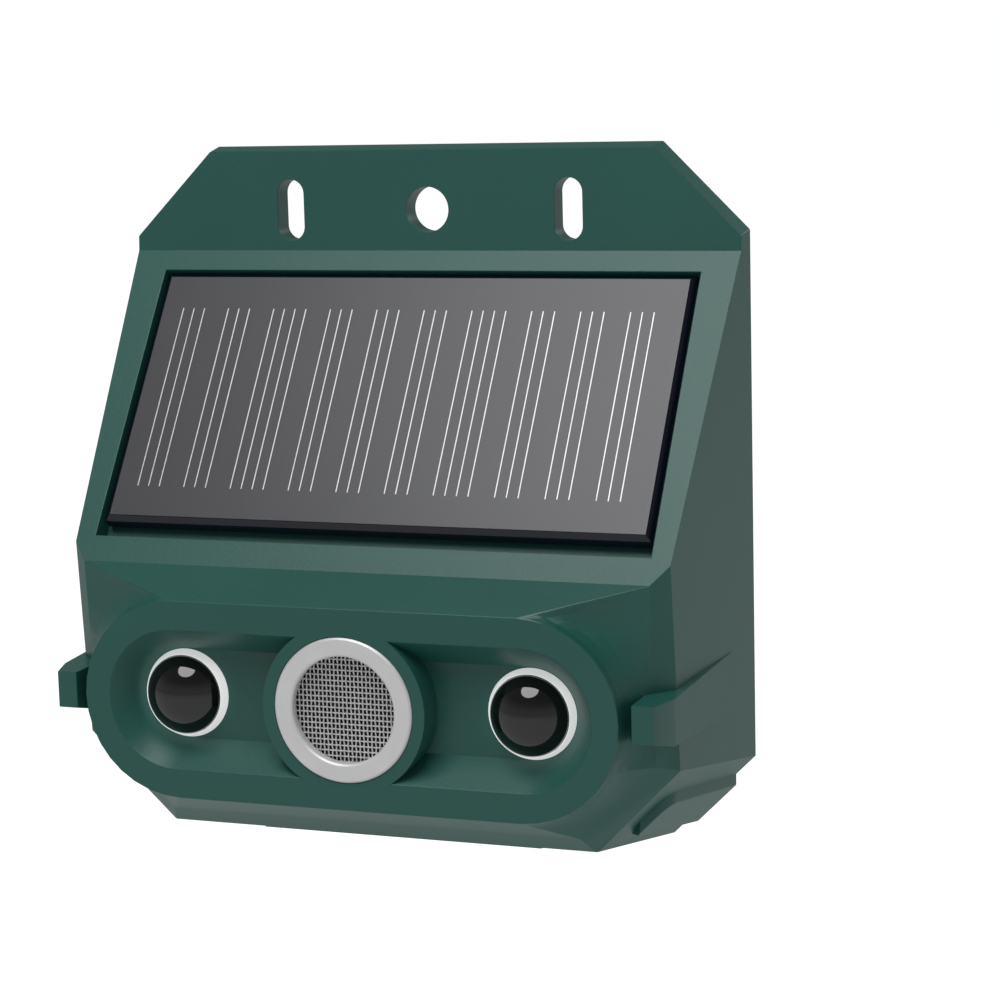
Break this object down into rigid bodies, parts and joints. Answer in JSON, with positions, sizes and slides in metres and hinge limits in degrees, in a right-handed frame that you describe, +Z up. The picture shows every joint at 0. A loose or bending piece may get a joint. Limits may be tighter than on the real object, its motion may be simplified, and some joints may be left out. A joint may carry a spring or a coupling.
{
  "type": "ultrasonic pest repeller",
  "caption": "Wall-hung box with a sloped solar panel, an ultrasonic speaker between smoked lamps, hanging holes and a rear power button.",
  "frame": {"origin": "axis of the middle hang hole where it meets the wall", "axes": "+Z up, -Y out of the wall towards the viewer, +X to the viewer's right"},
  "size_m": [0.075, 0.032, 0.081],
  "materials": {
    "housing_green": "fine moulded grain",
    "cover_green": "fine moulded grain",
    "gasket_rubber": "soft matt",
    "screw_steel": "zinc plated",
    "foam_tape": "foam",
    "panel_board_blue": "laminate",
    "silicon_cells": "dark silicon",
    "panel_resin": "satin resin",
    "wire_red": "insulation",
    "ring_silver": "satin silver",
    "mesh_steel": "woven wire",
    "spacer_black": "soft",
    "can_aluminium": "turned",
    "support_rubber": "soft",
    "ceramic_disc": "ceramic",
    "cone_aluminium": "spun",
    "pin_tin": "tinned",
    "board_green": "solder mask",
    "chip_black": "moulded",
    "ferrite": "ferrite",
    "copper_wire": "enamelled",
    "capacitor_sleeve": "sleeve",
    "button_rubber": "soft matt",
    "switch_plunger": "moulded",
    "switch_body": "moulded",
    "battery_sleeve": "shrink sleeve",
    "holder_black": "moulded",
    "contact_steel": "nickel plated",
    "collar_chrome": "bright",
    "lens_smoke": "smoked, polished",
    "led_epoxy": "clear epoxy"
  },
  "bodies": {
    "root": {"front_housing": "housing_green", "rear_cover": "cover_green", "cover_gasket": "gasket_rubber", "cover_screws": "screw_steel", "panel_tape": "foam_tape", "panel_board": "panel_board_blue", "solar_cells": "silicon_cells", "panel_resin": "panel_resin", "panel_leads": "wire_red", "speaker_ring": "ring_silver", "speaker_mesh": "mesh_steel", "speaker_spacer": "spacer_black", "speaker_can": "can_aluminium", "disc_support": "support_rubber", "speaker_disc": "ceramic_disc", "speaker_cone": "cone_aluminium", "speaker_pins": "pin_tin", "main_board": "board_green", "controller_chip": "chip_black", "driver_transistors": "chip_black", "boost_coil": "ferrite", "coil_winding": "copper_wire", "reservoir_capacitor": "capacitor_sleeve", "board_screws": "screw_steel", "button_seal": "gasket_rubber", "switch_body": "switch_body", "battery": "battery_sleeve", "battery_holder": "holder_black", "battery_tape": "foam_tape", "positive_contact": "contact_steel", "negative_contact": "contact_steel", "lamp_collar_left": "collar_chrome", "lamp_lens_left": "lens_smoke", "lamp_seal_left": "gasket_rubber", "lamp_led_left": "led_epoxy", "lamp_legs_left": "pin_tin", "lamp_collar_right": "collar_chrome", "lamp_lens_right": "lens_smoke", "lamp_seal_right": "gasket_rubber", "lamp_led_right": "led_epoxy", "lamp_legs_right": "pin_tin"},
    "button": {"power_button": "button_rubber", "switch_plunger": "switch_plunger"}
  },
  "joints": [
    {"name": "button_press", "type": "slide", "parent": "root", "child": "button", "axis": [0, -1, 0], "range_m": [0, 0.0005], "stiffness_N_per_m": 500}
  ]
}
